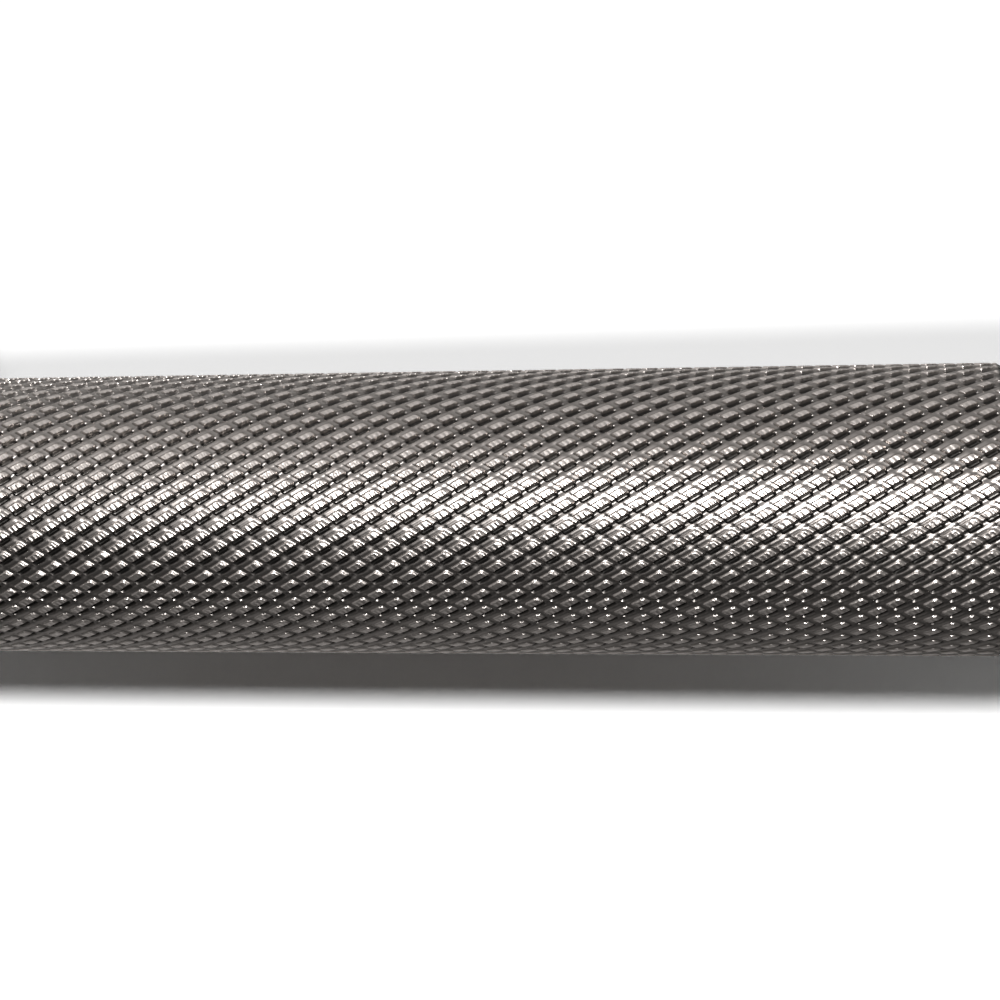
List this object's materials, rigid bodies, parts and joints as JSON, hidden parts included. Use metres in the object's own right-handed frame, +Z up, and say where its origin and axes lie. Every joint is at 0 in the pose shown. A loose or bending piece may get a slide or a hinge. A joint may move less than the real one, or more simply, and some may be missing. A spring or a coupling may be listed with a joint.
{
  "type": "loadable dumbbell bar",
  "caption": "Steel dumbbell bar with a diamond-knurled grip and plate sleeves that turn on bushings behind stop collars.",
  "frame": {"origin": "middle of the grip, on the shaft's axis", "axes": "+X along the shaft to the right-hand sleeve, +Z up, and -Y to where the picture is taken from"},
  "size_m": [0.448, 0.0758, 0.0758],
  "materials": {
    "knurled_chrome": "diamond-knurled bright plating",
    "sleeve_chrome": "turned and plated, faint plate rub marks",
    "collar_chrome": "turned and plated",
    "cap_chrome": "faced and plated",
    "bearing_bronze": "sintered, oiled",
    "washer_steel": "ground",
    "spring_steel": "oiled black phosphate",
    "seal_rubber": "matte"
  },
  "bodies": {
    "shaft": {"knurled_shaft": "knurled_chrome", "left_inner_thrust_washer": "washer_steel", "left_outer_thrust_washer": "washer_steel", "left_shaft_snap_ring": "spring_steel", "right_inner_thrust_washer": "washer_steel", "right_outer_thrust_washer": "washer_steel", "right_shaft_snap_ring": "spring_steel"},
    "left_sleeve_group": {"left_sleeve": "sleeve_chrome", "left_collar": "collar_chrome", "left_collar_pin": "spring_steel", "left_wiper_seal": "seal_rubber", "left_inner_bushing": "bearing_bronze", "left_outer_bushing": "bearing_bronze", "left_end_cap": "cap_chrome", "left_end_cap_ring": "spring_steel"},
    "right_sleeve_group": {"right_sleeve": "sleeve_chrome", "right_collar": "collar_chrome", "right_collar_pin": "spring_steel", "right_wiper_seal": "seal_rubber", "right_inner_bushing": "bearing_bronze", "right_outer_bushing": "bearing_bronze", "right_end_cap": "cap_chrome", "right_end_cap_ring": "spring_steel"}
  },
  "joints": [
    {"name": "left_sleeve_spin", "type": "hinge", "parent": "shaft", "child": "left_sleeve_group", "pos_m": [-0.077, 0, 0], "axis": [1, 0, 0], "continuous": true},
    {"name": "right_sleeve_spin", "type": "hinge", "parent": "shaft", "child": "right_sleeve_group", "pos_m": [0.077, 0, 0], "axis": [1, 0, 0], "continuous": true}
  ]
}
